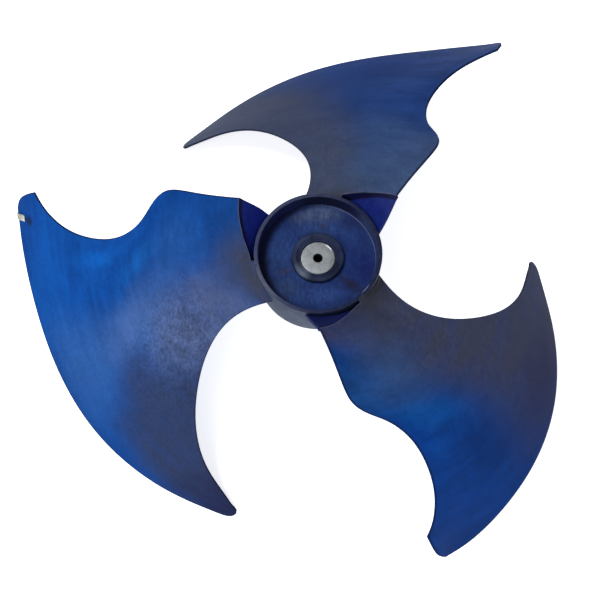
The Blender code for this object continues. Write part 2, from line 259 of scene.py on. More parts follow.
def patch(near, far, start, end):
    """A grid of points inside four edges: near and far run from start to end."""
    s = np.linspace(0, 1, len(start))[:, None]
    u = (1 - s) * fractions_along(near)[None, :] + s * fractions_along(far)[None, :]
    v = (1 - u) * fractions_along(start)[:, None] + u * fractions_along(end)[:, None]
    u, v = u[..., None], v[..., None]
    corners = ((1 - u) * (1 - v) * near[0] + u * (1 - v) * near[-1]
               + (1 - u) * v * far[0] + u * v * far[-1])
    return (1 - v) * near[None] + v * far[None] + (1 - u) * start[:, None] + u * end[:, None] - corners


held_edges = np.concatenate([
    edge_curve(ROOT_EDGE, 11), edge_curve(RIDGE, 12), edge_curve(OUTER_EDGE, 24),
    edge_curve(LEADING_EDGE, 14), edge_curve(TRAILING_EDGE, 12), edge_curve(BLUNT_END, 2)[1:],
])
print("the plate is held at", len(held_edges), "points")

# %% Spread the blade's cells
ROOT_RADIUS = 46.6 * MM     # the sheet ends inside the drum's wall
ROOT_CELLS, STEP_CELLS, RIDGE_CELLS = 52, 4, 64
LONG_CELLS, BLUNT_CELLS = 84, 12
DRAWN_CELLS = 400     # of a curve before it is spaced anew
ROOT_CROWDING = 1.4
ROOT_END = 68     # degrees, where the root pocket starts

leading = edge_curve(LEADING_EDGE, DRAWN_CELLS)
leading = leading[np.hypot(leading[:, 0], leading[:, 1]) >= ROOT_RADIUS]
root_start = math.atan2(leading[0, 1], leading[0, 0])
angles = np.linspace(root_start, math.radians(ROOT_END), ROOT_CELLS + 1)
root = np.stack([ROOT_RADIUS * np.cos(angles), ROOT_RADIUS * np.sin(angles), 0 * angles], axis=1)
ridge = edge_curve(RIDGE, RIDGE_CELLS)
step_end = np.linspace(root[-1], ridge[0], STEP_CELLS + 1)[1:-1]
inner = np.concatenate([root, step_end, ridge])
outer = respaced(edge_curve(OUTER_EDGE, DRAWN_CELLS), len(inner) - 1)
leading = respaced(leading, LONG_CELLS + BLUNT_CELLS, ROOT_CROWDING)
long_side = respaced(edge_curve(TRAILING_EDGE, DRAWN_CELLS), LONG_CELLS, ROOT_CROWDING)
trailing = np.concatenate([long_side, edge_curve(BLUNT_END, BLUNT_CELLS)[1:]])
sheet = patch(inner, outer, leading, trailing)
sheet[..., 2] = bent_plate(held_edges, sheet[..., :2])
print("sheet cells:", sheet.shape[0] - 1, "by", sheet.shape[1] - 1)

# %% [markdown]
# ## One blade in the round
#
# The sheet starts as a grid primitive with as many cells as the patch, and its vertices are put
# on the bent plate. Moulded blades are thinner at their rims and swell into the hub, so the
# Solidify modifier reads its thickness from a vertex group. A Bevel modifier then rounds the
# rims. The modelled blade is copied and turned for its two sisters.

# %% Model the blade sheet
RIM_THICKNESS = 1.7 * MM
BODY_THICKNESS = 2.6 * MM
RIM_WIDTH = 16 * MM     # over which the rim thickens into the body
RIM_ROUNDING = 0.6 * MM
DRUM_RADIUS = 48.2 * MM
ROOT_FILLET = 2.6 * MM
FILLET_START, FILLET_RUN = 0.5 * MM, 4 * MM     # from the rim, over which the fillet grows
THICKEST = BODY_THICKNESS + 2 * ROOT_FILLET


def nearest(points, curve):
    """For each point, its distance to the nearest point of a curve and that point's number."""
    tree = KDTree(len(curve))
    for number, spot in enumerate(curve):
        tree.insert(spot, number)
    tree.balance()
    _, numbers, distances = zip(*(tree.find(point) for point in points))
    return np.array(distances), np.array(numbers)


def eased(value):
    value = np.clip(value, 0, 1)
    return value * value * (3 - 2 * value)


def sheet_piece(name, grid):
    let_go()
    rows, columns = grid.shape[:2]
    bpy.ops.mesh.primitive_grid_add(x_subdivisions=columns - 1, y_subdivisions=rows - 1, size=1)
    piece = bpy.context.object
    piece.name = name
    move_points(piece, grid.reshape(-1, 3))
    return piece


free_rim = np.concatenate([sheet[0, ROOT_CELLS + 2:], sheet[-1], sheet[:, 0], sheet[:, -1]])
blade = sheet_piece("swept_blade_1", sheet)
flat_points = sheet.reshape(-1, 3)
from_rim, _ = nearest(flat_points, free_rim)
from_drum = np.hypot(flat_points[:, 0], flat_points[:, 1]) - DRUM_RADIUS
hollow = np.clip(1 - from_drum / ROOT_FILLET, 0, 1)
fillet = 2 * ROOT_FILLET * (1 - np.sqrt(1 - hollow ** 2)) * eased((from_rim - FILLET_START) / FILLET_RUN)
thickness = RIM_THICKNESS + (BODY_THICKNESS - RIM_THICKNESS) * eased(from_rim / RIM_WIDTH) + fillet
body = blade.vertex_groups.new(name="body")
for index, value in enumerate(thickness):
    body.add([index], min(1.0, value / THICKEST), "REPLACE")
apply(blade, "SOLIDIFY", thickness=THICKEST, offset=0, use_even_offset=False, vertex_group="body")
round_edges(blade, RIM_ROUNDING, 3)
merge_and_face_out(blade)
measure(blade)

# %% [markdown]
# ## The root pocket
#
# Behind the drum's rim each blade stands free: its inner ridge rises steeply, and a web climbs
# from the rim to a step wall under that ridge. Only the walls that face the pocket are seen, so
# they are drawn as three grids that share edges, and the Solidify modifier puts all of the
# plastic behind them, where folded walls can't run into each other.

# %% Model the root pocket
WEB_CORNER = (64.8, 29.7, 36.6)
WEB_FREE_EDGE = ((46.5, 18.0, 6.0), (49.6, 20.2, 11.5), (54.0, 23.0, 19.8), (59.4, 26.6, 28.4), WEB_CORNER)
STEP_FOOT = (
    (50.4, 67.5, 3.0), (51.2, 61, 7.6), (53.6, 54, 13.4), (57.0, 46.7, 20.0), (61.4, 38.3, 27.8), WEB_CORNER,
)
DRUM_LINE = ((46.0, 66, 1.0), (46.0, 50, 2.4), (46.0, 34, 4.6), (46.5, 18.0, 6.0))
WEB_THICKNESS = 2.2 * MM
POCKET_CELLS, WEB_CELLS, WALL_CELLS = 48, 12, 5
UNDER_RIDGE, BELOW_BLADE = 0.5 * MM, 0.3 * MM     # how far out and down the step wall ends
END_WALL_HEIGHT = 10.5 * MM
SEAM = 0.05 * MM     # within which the walls' shared edges are merged
POCKET_ROUNDING = 0.5 * MM

foot = edge_curve(STEP_FOOT, POCKET_CELLS)
drum_line = edge_curve(DRUM_LINE, POCKET_CELLS)
free_edge = respaced(edge_curve(WEB_FREE_EDGE, DRAWN_CELLS // 2), WEB_CELLS)
narrow_end = np.linspace(drum_line[0], foot[0], WEB_CELLS + 1)
web = patch(drum_line, foot, narrow_end, free_edge)
wall_top = respaced(ridge, POCKET_CELLS)
wall_top[:, 2] = bent_plate(held_edges, wall_top[:, :2]) - BELOW_BLADE
outward = wall_top * [1, 1, 0] / np.linalg.norm(wall_top[:, :2], axis=1)[:, None]
wall_top += outward * UNDER_RIDGE
step_wall = np.linspace(foot, wall_top, WALL_CELLS + 1)
end_top = narrow_end.copy()
end_top[:, 2] = np.linspace(END_WALL_HEIGHT, wall_top[0, 2], WEB_CELLS + 1)
end_top[-1] = wall_top[0]
end_wall = np.linspace(narrow_end, end_top, WALL_CELLS + 1)

walls = [sheet_piece(name, grid) for name, grid in
         (("pocket_web", web), ("pocket_step", step_wall), ("pocket_end", end_wall))]
let_go()
for wall in walls:
    wall.select_set(True)
bpy.context.view_layer.objects.active = walls[0]
bpy.ops.object.join()
pocket = bpy.context.object
pocket.name = "root_pocket_1"
merge_and_face_out(pocket, SEAM)
web_face = pocket.data.polygons[len(pocket.data.polygons) // 6]     # the web's faces come first
behind = -1 if web_face.normal.z > 0 else 1
apply(pocket, "SOLIDIFY", thickness=WEB_THICKNESS, offset=behind, use_even_offset=True)
round_edges(pocket, POCKET_ROUNDING, 3, 35)
merge_and_face_out(pocket)
measure(pocket)

# %% Turn the blade and its pocket round for the two sisters
PITCH = 2 * math.pi / 3


def sister(first, name, thirds):
    """A copy with its own mesh, turned by thirds of a circle."""
    copy = first.copy()
    copy.data = first.data.copy()
    bpy.context.scene.collection.objects.link(copy)
    copy.name = name
    copy.data.transform(Matrix.Rotation(thirds * PITCH, 4, "Z"))
    return copy


blades = [blade, sister(blade, "swept_blade_2", 1), sister(blade, "swept_blade_3", 2)]
pockets = [pocket, sister(pocket, "root_pocket_2", 1), sister(pocket, "root_pocket_3", 2)]
for piece in blades + pockets:
    shade(piece)
print([piece.name for piece in blades + pockets])

# %% [markdown]
# ## The turned pieces of the hub
#
# The drum, the floor, the boss and the bush are all round. A lathe is the natural tool: half of
# a cross-section is spun about the axis. A circle primitive gives the cross-section one vertex
# for each corner, the vertices are moved to their places, and the spin operator turns it.

# %% A lathe
LATHE_STEPS = 144


def arc(middle_radius, middle_height, curve, start, end, cells=5):
    """Corners of an arc in a cross-section, in mm and degrees."""
    return [(middle_radius + curve * math.cos(turn), middle_height + curve * math.sin(turn))
            for turn in np.radians(np.linspace(start, end, cells + 1))]


def lathe(name, profile):
    """Spin a closed cross-section of (radius, height) corners in mm."""
    let_go()
    bpy.ops.mesh.primitive_circle_add(vertices=len(profile), radius=1)
    piece = bpy.context.object
    piece.name = name
    move_points(piece, [(radius * MM, 0, height * MM) for radius, height in profile])
    bpy.ops.object.mode_set(mode="EDIT")
    bpy.ops.mesh.select_all(action="SELECT")
    bpy.ops.mesh.spin(steps=LATHE_STEPS, angle=2 * math.pi, center=(0, 0, 0), axis=(0, 0, 1))
    bpy.ops.object.mode_set(mode="OBJECT")
    merge_and_face_out(piece)
    shade(piece, 35)
    measure(piece)
    return piece


print("the lathe turns in", LATHE_STEPS, "steps")

# %% Turn the drum and its floor
RIM_TOP, DRUM_REAR = 13.2, -29.5     # heights in mm
FLOOR_FRONT, FLOOR_REAR = -1.5, -4.3
RIM_CURVE, REAR_CURVE = 0.8, 0.7     # radii of rounded edges
FRONT_FILLET, REAR_FILLET = 1.3, 1.8

# down the outside, round the rear end and up the inside
rim_height, rear_height = RIM_TOP - RIM_CURVE, DRUM_REAR + REAR_CURVE
drum = lathe("hub_cup", (
    arc(47.4, rim_height, RIM_CURVE, 90, 0) + [(48.35, -10.0)]
    + arc(47.8, rear_height, REAR_CURVE, 0, -90) + arc(46.3, rear_height, REAR_CURVE, -90, -180)
    + [(45.15, -14.0), (44.8, -4.5), (44.9, -1.0)] + arc(45.9, rim_height, RIM_CURVE, 180, 90)
))
# along the front towards the middle, and back behind
floor_web = lathe("hub_web", (
    arc(43.6, FLOOR_FRONT + FRONT_FILLET, FRONT_FILLET, -5, -90) + [(32.0, FLOOR_FRONT), (21.0, FLOOR_FRONT)]
    + arc(21.0, FLOOR_FRONT + 1.0, 1.0, -90, -180) + [(19.2, -3.0)]
    + arc(21.0, FLOOR_REAR - REAR_FILLET, REAR_FILLET, 180, 90) + [(32.0, FLOOR_REAR)]
    + arc(43.0, FLOOR_REAR - REAR_FILLET, REAR_FILLET, 90, 0) + [(45.4, -3.5)]
))

# %% Turn the boss and the bush
BUSH_RADIUS, BORE_RADIUS, BUSH_REAR = 13.1, 3.3, -26.0     # mm

# the collar's top and its dish, the sleeve round the bush, its rear end and its outside
boss = lathe("hub_collar", (
    arc(18.6, 1.7, 1.3, 0, 90) + arc(17.2, 3.8, 0.8, -90, -120, 3) + [(14.6, 1.5)]
    + arc(14.0, 0.5, 0.6, 60, 180, 4) + [(13.4, -26.4)] + arc(13.9, -26.6, 0.4, 180, 270, 3)
    + arc(17.6, -26.4, 0.6, -90, 0, 4) + [(19.4, -2.0)]
))
# the outside, the rear face, the bore and the front face
bush = lathe("metal_bush", (
    arc(BUSH_RADIUS - 0.6, -0.6, 0.6, 90, 0) + [(BUSH_RADIUS, BUSH_REAR + 0.6)]
    + arc(BUSH_RADIUS - 0.5, BUSH_REAR + 0.5, 0.5, 0, -90)
    + [(4.0, BUSH_REAR), (BORE_RADIUS, BUSH_REAR + 0.6), (BORE_RADIUS, -0.7), (3.9, 0.0), (7.0, 0.0)]
))

# %% [markdown]
# ## The ribs behind the floor
#
# Six radial ribs stiffen the back of the floor, deep and shallow in turn. One of each is a cube
# of the rib's size, whose face towards the floor is extruded and widened into a foot, the way a
# mould maker rounds the root of a rib. A bevel softens the rest, and each is copied twice.

# %% Model the ribs
RIB_INNER, RIB_OUTER = 18.0 * MM, 45.6 * MM
RIB_THICKNESS = 2.0 * MM
RIB_TOP, DEEP_REAR, SHALLOW_REAR = -5.2 * MM, -26.0 * MM, -15.0 * MM
RIB_ROUNDING = 0.4 * MM
FOOT_HEIGHT = 1.0 * MM
FOOT_WIDENINGS = (1.25, 1.5)     # each step widens the one before
DEEP_ANGLE, SHALLOW_ANGLE = math.radians(80), math.radians(140)


def model_rib(name, rear, angle):
    middle = (RIB_INNER + RIB_OUTER) / 2
    let_go()
    bpy.ops.mesh.primitive_cube_add(size=1, location=(middle, 0, (RIB_TOP + rear) / 2),
                                    scale=(RIB_OUTER - RIB_INNER, RIB_THICKNESS, RIB_TOP - rear))
    rib = bpy.context.object
    rib.name = name
    bpy.ops.object.transform_apply(location=True, rotation=True, scale=True)
    bpy.ops.object.mode_set(mode="EDIT")
    mesh = bmesh.from_edit_mesh(rib.data)
    for face in mesh.faces:
        face.select_set(face.normal.z > 0.5)
    bmesh.update_edit_mesh(rib.data)
    step = FOOT_HEIGHT / len(FOOT_WIDENINGS)
    for widening in FOOT_WIDENINGS:
        bpy.ops.mesh.extrude_region_move(TRANSFORM_OT_translate={"value": (0, 0, step)})
        bpy.ops.transform.resize(value=(1, widening, 1), center_override=(middle, 0, RIB_TOP))
    bpy.ops.object.mode_set(mode="OBJECT")
    round_edges(rib, RIB_ROUNDING, 2)
    rib.data.transform(Matrix.Rotation(angle, 4, "Z"))
    return rib


deep = model_rib("back_rib_1", DEEP_REAR, DEEP_ANGLE)
shallow = model_rib("back_rib_2", SHALLOW_REAR, SHALLOW_ANGLE)
ribs = [deep, shallow, sister(deep, "back_rib_3", 1), sister(shallow, "back_rib_4", 1),
        sister(deep, "back_rib_5", 2), sister(shallow, "back_rib_6", 2)]
for rib in ribs:
    shade(rib)
print([rib.name for rib in ribs])

# %% [markdown]
# ## The balance clip
#
# A strip of spring steel is bent into a U and pushed over the blade's rim. A grid primitive
# becomes the strip: its columns follow the U, its rows cross its width. The two leaves lie on
# the blade, and their ends curl up a little so that the clip can be pushed on.

# %% Find where the clip sits
CLIP_RADIUS, CLIP_ANGLE, CLIP_HEIGHT = 231.7 * MM, math.radians(51.9), 8.6 * MM
CLIP_NEIGHBOURS = 40     # points of the sheet that tell its slope

rim_spot = Vector((CLIP_RADIUS * math.cos(CLIP_ANGLE), CLIP_RADIUS * math.sin(CLIP_ANGLE), CLIP_HEIGHT))
near_cells = np.argsort(np.linalg.norm(flat_points - np.array(rim_spot), axis=1))[:CLIP_NEIGHBOURS]
cloud = flat_points[near_cells] - flat_points[near_cells].mean(0)
clip_normal = Vector(np.linalg.svd(cloud)[2][2])
if clip_normal.z < 0:
    clip_normal.negate()
clip_inward = Vector((-rim_spot.x, -rim_spot.y, 0))
clip_inward -= clip_inward.dot(clip_normal) * clip_normal
clip_inward.normalize()
clip_along = clip_normal.cross(clip_inward)
print("the clip's leaf faces", [round(value, 2) for value in clip_normal])

# %% Bend the clip
CLIP_WIDTH, CLIP_REACH, CLIP_SHEET = 5.2 * MM, 6.6 * MM, 0.7 * MM
LEAF_HEIGHT = 1.55 * MM     # from the middle of the blade to the middle of a leaf
LEAF_STEP = 1.1 * MM
BOW_START, BOW_CELLS = 0.2 * MM, 10
CLIP_ROUNDING = 0.18 * MM


def clip_path():
    """The U in (inward, normal) places, from the end of the upper leaf to the lower one's."""
    leaf = [(CLIP_REACH, LEAF_HEIGHT + 0.5 * MM), (CLIP_REACH - 0.9 * MM, LEAF_HEIGHT + 0.1 * MM)]
    leaf += [(CLIP_REACH - step * LEAF_STEP, LEAF_HEIGHT) for step in (2, 3, 4, 5)]
    turns = np.linspace(0, math.pi, BOW_CELLS + 1)
    bow = [(BOW_START - LEAF_HEIGHT * math.sin(turn), LEAF_HEIGHT * math.cos(turn)) for turn in turns]
    return leaf + bow + [(along, -height) for along, height in reversed(leaf)]


strip = np.array([[rim_spot + clip_inward * along + clip_normal * height + clip_along * side * CLIP_WIDTH
                   for along, height in clip_path()] for side in (-0.5, -0.25, 0, 0.25, 0.5)])
clip = sheet_piece("spring_clip", strip)
apply(clip, "SOLIDIFY", thickness=CLIP_SHEET, offset=0, use_even_offset=True)
round_edges(clip, CLIP_ROUNDING, 2)
merge_and_face_out(clip)
clip.data.transform(Matrix.Rotation(PITCH, 4, "Z"))
shade(clip)
measure(clip)

# %% [markdown]
# ## Marks for the finishes
#
# Dirt, wear and painted light follow the shape: soot lies along the leading side, edges are rubbed
# or dark, a blade's ridge carries a painted highlight, and the pockets' corners are painted dark as
# shade. A finish can't see a shape's edges by itself, so every vertex of a blade carries a few
# numbers: how far along the chord and the span it lies, and how far the rim, the outer arc and the
# ridge are. A pocket's vertices know how near its walls and corners are.

# %% Write the marks onto the blades and the pockets
def mark(piece, name, values):
    attribute = piece.data.attributes.new(name, "FLOAT", "POINT")
    attribute.data.foreach_set("value", np.asarray(values, np.float32))


marked_points = points_of(blades[0])
_, cell_numbers = nearest(marked_points, flat_points)
span_cells, chord_cells = np.divmod(cell_numbers, sheet.shape[1])
blade_marks = {
    "chord": chord_cells / (sheet.shape[1] - 1),
    "span": span_cells / (sheet.shape[0] - 1),
    "rim": nearest(marked_points, free_rim)[0] / MM,
    "arc": nearest(marked_points, sheet[-1])[0] / MM,
    "ridge": nearest(marked_points, sheet[0, ROOT_CELLS:] + [0, 0, RIM_THICKNESS / 2])[0] / MM,
}
for piece in blades:
    for name, values in blade_marks.items():
        mark(piece, name, values)
pocket_points = points_of(pockets[0])
pocket_walls = np.concatenate([step_wall.reshape(-1, 3), end_wall.reshape(-1, 3)])
for piece in pockets:
    mark(piece, "wall", nearest(pocket_points, pocket_walls)[0] / MM)
    mark(piece, "corner", nearest(pocket_points, np.concatenate([foot, narrow_end]))[0] / MM)
print("marks:", list(blade_marks))

# %% [markdown]
# ## Mixing finishes
#
# Every finish is a small network of nodes. Written out one node at a time it would hide what it
# says, so a short class adds a node, connects what it is given and hands back its output.
# Patterns read Object coordinates, which are metres on the real wheel.

# %% A bench for node networks
class Finish:
    """One material; each method adds its nodes and returns their output."""

    def __init__(self, name):
        self.material = bpy.data.materials.new(name)
        self.material.use_nodes = True
        self.nodes = self.material.node_tree.nodes
        self.links = self.material.node_tree.links
        self.shader = self.nodes["Principled BSDF"]

    def feed(self, socket, value):
        if isinstance(value, bpy.types.NodeSocket):
            self.links.new(value, socket)
        elif value is not None:
            socket.default_value = value

    def fill(self, made, values):
        """Feed a node's inputs by their names."""
        for name, value in values.items():
            self.feed(made.inputs[name], value)

    def node(self, kind, *inputs, output=0, **settings):
        made = self.nodes.new(kind)
        for setting, value in settings.items():
            setattr(made, setting, value)
        for socket, value in zip(made.inputs, inputs):
            self.feed(socket, value)
        return made.outputs[output]

    def maths(self, operation, first, second=None, third=None):
        return self.node("ShaderNodeMath", first, second, third, operation=operation)

    def times(self, *values):
        product = values[0]
        for value in values[1:]:
            product = self.maths("MULTIPLY", product, value)
        return product

    def place(self, turn=0.0, scale=(1, 1, 1), move=(0, 0, 0)):
        spot = self.node("ShaderNodeTexCoord", output=3)
        return self.node("ShaderNodeMapping", spot, move, (0, 0, turn), scale)

    def vector(self, x, y, z=0.0):
        return self.node("ShaderNodeCombineXYZ", x, y, z)

    def coordinates(self, spot):
        return self.node("ShaderNodeSeparateXYZ", spot).node.outputs[:3]

    def polar(self, spot):
        """Distance from the axis and angle round it."""
        x, y, _ = self.coordinates(spot)
        radius = self.maths("SQRT", self.maths("ADD", self.times(x, x), self.times(y, y)))
        return radius, self.maths("ARCTAN2", y, x)

    def mark(self, name):
        return self.node("ShaderNodeAttribute", output=2, attribute_name=name)

    def noise(self, spot, scale, detail, roughness=0.55, warp=0.0):
        made = self.nodes.new("ShaderNodeTexNoise")
        self.fill(made, {"Vector": spot, "Scale": scale, "Detail": detail,
                         "Roughness": roughness, "Distortion": warp})
        return made.outputs["Fac"]

    def ramp(self, value, low, high, at_low=0.0, at_high=1.0):
        """Smoothly from at_low to at_high while the value goes from low to high."""
        return self.node("ShaderNodeMapRange", value, low, high, at_low, at_high,
                         interpolation_type="SMOOTHSTEP")

    def near(self, value, middle, core, reach, peak=1.0):
        """The peak within a core's distance of the middle, fading to nothing at the reach."""
        away = self.maths("ABSOLUTE", self.maths("SUBTRACT", value, middle))
        return self.ramp(away, core, reach, peak, 0.0)

    def oval(self, spot, middle, size, core=0.2):
        """One in the core of an oval patch, fading to nothing at its edge."""
        moved = self.node("ShaderNodeVectorMath", spot, (*middle, 0), operation="SUBTRACT")
        scaled = self.node("ShaderNodeVectorMath", moved, (*size, 1), operation="DIVIDE")
        distance = self.node("ShaderNodeVectorMath", scaled, operation="LENGTH", output=1)
        return self.ramp(distance, core, 1.0, 1.0, 0.0)

    def mix(self, amount, first, second, blend="MIX"):
        made = self.nodes.new("ShaderNodeMix")
        made.data_type, made.blend_type = "RGBA", blend
        for socket, value in zip((made.inputs[0], made.inputs[6], made.inputs[7]), (amount, first, second)):
            self.feed(socket, value)
        return made.outputs[2]

    def mottled(self, colour, pattern, depth, low=0.34, high=0.66):
        """The colour, darker and lighter by the depth where the pattern is low and high."""
        factor = self.maths("MULTIPLY_ADD", self.ramp(pattern, low, high, -1.0, 1.0), depth, 1.0)
        return self.mix(1.0, colour, factor, "MULTIPLY")

    def covered(self, colour, place, films, broken, units=(1, 1)):
        """Lay films on a colour: each has a paint, a middle, a half size, a core and a strength."""
        for film, middle, size, core, strength in films:
            middle = [unit * value for unit, value in zip(units, middle)]
            size = [unit * value for unit, value in zip(units, size)]
            share = self.times(self.oval(place, middle, size, core), broken, strength)
            colour = self.mix(share, colour, paint(*film))
        return colour

    def bump(self, height, distance, strength, under=None):
        made = self.nodes.new("ShaderNodeBump")
        self.fill(made, {"Height": height, "Distance": distance, "Strength": strength, "Normal": under})
        return made.outputs["Normal"]

    def finish(self, colour, roughness, normal=None, metallic=0.0, specular=0.5):
        self.fill(self.shader, {"Base Color": colour, "Roughness": roughness, "Normal": normal,
                                "Metallic": metallic, "Specular IOR Level": specular})
        return self.material


def paint(red, green, blue):
    """A colour as a paint chart gives it, 0 to 255, made linear for a shader."""
    return tuple((value / 255 / 12.92) if value <= 10 else ((value / 255 + 0.055) / 1.055) ** 2.4
                 for value in (red, green, blue)) + (1.0,)


print("the bench is ready")

# %% [markdown]
# ## The blades' plastic
#
# The plastic is a strong cobalt blue that years of air have covered unevenly. Streaks follow the
# turning of the wheel, a slate-grey film lies over the leading side and the root, and coarse dust
# has dried near it. Each blade has its own share of it, so the finish is one recipe with two
# blues and a list of films, each at a place along the chord and the span.

# %% The recipe for a blade
# a painted shadow that the clip casts on the blade beside it
DARK_LINE, WORN_HIGHLIGHT_LINE, CLIP_SHADOW = paint(6, 12, 40), paint(80, 84, 108), paint(22, 36, 74)
CLIP_SHADOW_PLACE = (rim_spot.x - 9 * MM, rim_spot.y - 5 * MM)     # beside the clip
CLIP_SHADOW_SIZE = (4.2 * MM, 3.6 * MM)
DUST_HEIGHT, STREAK_HEIGHT = 0.05 * MM, 0.06 * MM


def blade_plastic(name, turn, deep, bright, films, grit, arc_line, arc_strength, clip_shadow=0.0):
    """Two blues under films along (chord, span); grit is where coarse dust lies and how deep."""
    finish = Finish(name)
    spot = finish.place(-turn)
    radius, angle = finish.polar(spot)

    def streaked(across, along, seed):
        drawn_out = finish.vector(finish.times(radius, across), finish.times(angle, along), seed * turn)
        return finish.noise(drawn_out, 1.0, 4, 0.55, 0.2)

    streaks = streaked(40, 2, 3.1)
    thin_streaks = streaked(120, 3.2, 2.3)
    fine_streaks = streaked(420, 9, 1.7)
    clouds = finish.noise(finish.place(move=(turn, 0, 0)), 14, 6, 0.62, 0.2)
    other_clouds = finish.noise(finish.place(move=(0, turn, 1)), 14, 6, 0.62, 0.2)
    speckle = finish.noise(finish.place(0.9 - turn, (1, 0.45, 1)), 520, 4, 0.7, 0.2)
    grain = finish.noise(spot, 90, 6, 0.7, 0.3)

    # the two blues, and films whose borders wander with the clouds
    chord = finish.maths("ADD", finish.mark("chord"), finish.maths("MULTIPLY_ADD", clouds, 0.16, -0.08))
    span = finish.maths("ADD", finish.mark("span"), finish.maths("MULTIPLY_ADD", other_clouds, 0.14, -0.07))
    place = finish.vector(chord, span)
    colour = finish.mix(finish.ramp(streaks, 0.3, 0.7), deep, bright)
    colour = finish.covered(colour, place, films, finish.ramp(thin_streaks, 0.3, 0.68, 0.82, 1.0))

    # dust everywhere, coarse dust in one place, and streaks on the clean trailing side
    grit_place, grit_size, grit_depth = grit
    coarse = finish.oval(place, grit_place, grit_size, 0.0)
    for pattern, everywhere in ((speckle, 0.08), (grain, 0.06)):
        depth = finish.maths("MULTIPLY_ADD", coarse, grit_depth, everywhere)
        colour = finish.mottled(colour, pattern, depth, 0.32, 0.68)
    clean = finish.ramp(chord, 0.4, 0.85, 0.2, 1.0)
    for pattern, depth in ((streaks, 0.07), (thin_streaks, 0.07), (fine_streaks, 0.05)):
        colour = finish.mottled(colour, pattern, finish.times(clean, depth))

    # the clip's painted shadow beside it, the dark line along the rim, the line along the outer arc, and the
    # worn line along the ridge with a painted highlight
    clip_shadowed = finish.times(finish.oval(spot, CLIP_SHADOW_PLACE, CLIP_SHADOW_SIZE, 0.3), clip_shadow)
    colour = finish.mix(clip_shadowed, colour, CLIP_SHADOW)
    colour = finish.mix(finish.ramp(finish.mark("rim"), 0.8, 1.4, 0.7, 0.0), colour, DARK_LINE)
    # the line along the outer arc: a painted highlight on the top and right blades, a dark line on the left
    # one
    colour = finish.mix(finish.ramp(finish.mark("arc"), 0.9, 1.6, arc_strength, 0.0), colour, arc_line)
    # the ridge's light line is wear and a painted highlight on its rounded edge
    rubbed_and_lit = finish.ramp(finish.noise(spot, 210, 3), 0.3, 0.6, 0.45, 0.85)
    ridge_line = finish.ramp(finish.mark("ridge"), 0.5, 0.95, 1.0, 0.0)
    colour = finish.mix(finish.times(ridge_line, rubbed_and_lit), colour, WORN_HIGHLIGHT_LINE)

    roughness = finish.ramp(speckle, 0.3, 0.7, 0.48, 0.62)
    normal = finish.bump(speckle, DUST_HEIGHT, 0.5)
    normal = finish.bump(fine_streaks, STREAK_HEIGHT, 0.3, normal)
    return finish.finish(colour, roughness, normal, specular=0.03)


print("blade recipe written")

# %% Give each blade its own wear and painted light
EVERYWHERE = 9     # a half size that reaches over the whole blade
top_plastic = blade_plastic(
    "blade_plastic_top", 0.0, paint(13, 40, 90), paint(21, 50, 102),
    films=[
        ((48, 66, 98), (0.5, -0.1), (EVERYWHERE, 0.7), 0.38, 0.9),
        ((53, 71, 104), (1.05, 0.15), (0.5, 0.35), 0.1, 0.8),
        ((45, 68, 108), (0.62, 0.38), (0.3, 0.2), 0.05, 0.7),
        ((54, 61, 82), (-0.05, 0.5), (0.64, EVERYWHERE), 0.35, 1.0),
        ((54, 61, 78), (0.4, 0.03), (0.55, 0.18), 0.1, 0.85),
        ((46, 44, 50), (0.4, 0.03), (0.2, 0.09), 0.05, 0.75),
        ((64, 71, 92), (0.05, 0.95), (0.2, 0.3), 0.15, 0.7),
        ((10, 46, 104), (0.5, 0.88), (0.32, 0.32), 0.1, 0.75),
        ((62, 78, 106), (0.82, 1.02), (0.3, 0.08), 0.1, 0.7),
    ],
    grit=((0.2, 0.2), (0.4, 0.3), 0.05), arc_line=paint(112, 126, 146), arc_strength=0.75)
left_plastic = blade_plastic(
    "blade_plastic_left", PITCH, paint(9, 59, 130), paint(12, 70, 144),
    films=[
        ((14, 55, 114), (0.85, 0.03), (0.55, 0.38), 0.1, 0.9),
        ((30, 72, 134), (0.68, 0.32), (0.3, 0.18), 0.05, 0.8),
        ((18, 85, 158), (0.75, 0.49), (0.11, 0.15), 0.0, 0.8),
        ((10, 56, 126), (0.95, 0.97), (0.16, 0.16), 0.1, 0.8),
        ((10, 88, 172), (0.91, 0.64), (0.06, 0.12), 0.0, 0.6),
        ((45, 85, 146), (0.52, 0.74), (0.25, 0.5), 0.1, 0.85),
        ((62, 88, 138), (0.38, 0.48), (0.38, 0.2), 0.1, 0.9),
        ((68, 96, 152), (0.54, 0.58), (0.18, 0.13), 0.05, 0.75),
        ((68, 82, 120), (0.08, 0.3), (0.58, 0.28), 0.3, 1.0),
        ((48, 61, 95), (0.45, 0.13), (0.36, 0.15), 0.1, 0.8),
        ((44, 54, 83), (-0.06, 0.76), (0.52, 0.4), 0.5, 1.0),
        ((46, 58, 90), (0.26, 0.63), (0.27, 0.11), 0.2, 0.75),
        ((72, 85, 118), (0.17, 0.46), (0.32, 0.14), 0.1, 0.7),
        ((54, 58, 74), (0.2, 0.0), (0.75, 0.21), 0.35, 1.0),
        ((15, 58, 120), (0.4, 1.04), (0.6, 0.14), 0.2, 0.65),
        ((28, 32, 66), (0.0, 1.08), (0.22, 0.3), 0.3, 1.0),
    ],
    grit=((0.2, 0.44), (0.46, 0.28), 0.22), arc_line=paint(14, 34, 80), arc_strength=0.9, clip_shadow=0.9)
